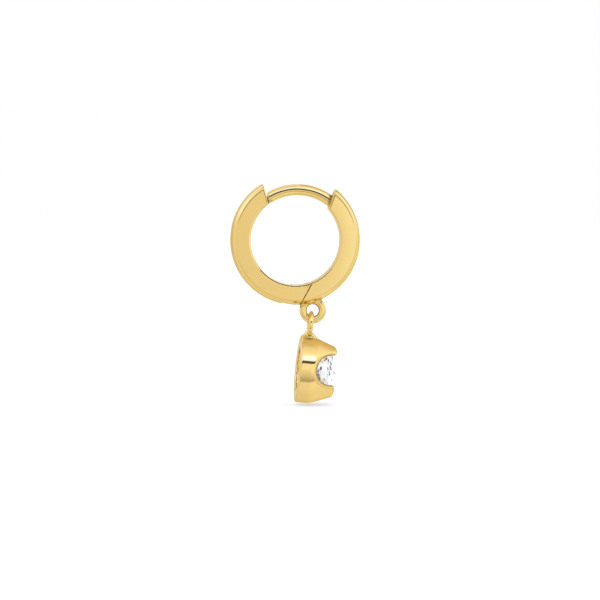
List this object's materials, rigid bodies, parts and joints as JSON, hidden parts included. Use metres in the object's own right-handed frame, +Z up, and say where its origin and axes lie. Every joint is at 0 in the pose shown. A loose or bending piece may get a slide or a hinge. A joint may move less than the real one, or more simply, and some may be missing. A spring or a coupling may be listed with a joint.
{
  "type": "hoop charm earring",
  "caption": "Hinged huggie hoop earring with a curved ear post and a hanging drum-shaped charm that holds a round clear stone.",
  "frame": {"origin": "middle of the ear post's centre line, at the top of the hoop, where the earring hangs in the ear", "axes": "+Z up along the hanging earring, +Y across the band, +X the way the stone faces"},
  "size_m": [0.0124, 0.0064, 0.0211],
  "materials": {
    "gold": "polished yellow gold",
    "stone": "clear, faceted and polished"
  },
  "bodies": {
    "hoop": {"post_half": "gold"},
    "latch": {"latch_half": "gold", "hinge_pin": "gold"},
    "charm": {"charm_setting": "gold", "stone": "stone"}
  },
  "joints": [
    {"name": "hoop_hinge", "type": "hinge", "parent": "hoop", "child": "latch", "pos_m": [-0.00038, 0, -0.01026], "axis": [0, -1, 0], "range_deg": [0, 55]},
    {"name": "charm_swing", "type": "hinge", "parent": "hoop", "child": "charm", "pos_m": [0.00156, 0, -0.01189], "axis": [0, 1, 0], "range_deg": [-50, 50]}
  ]
}
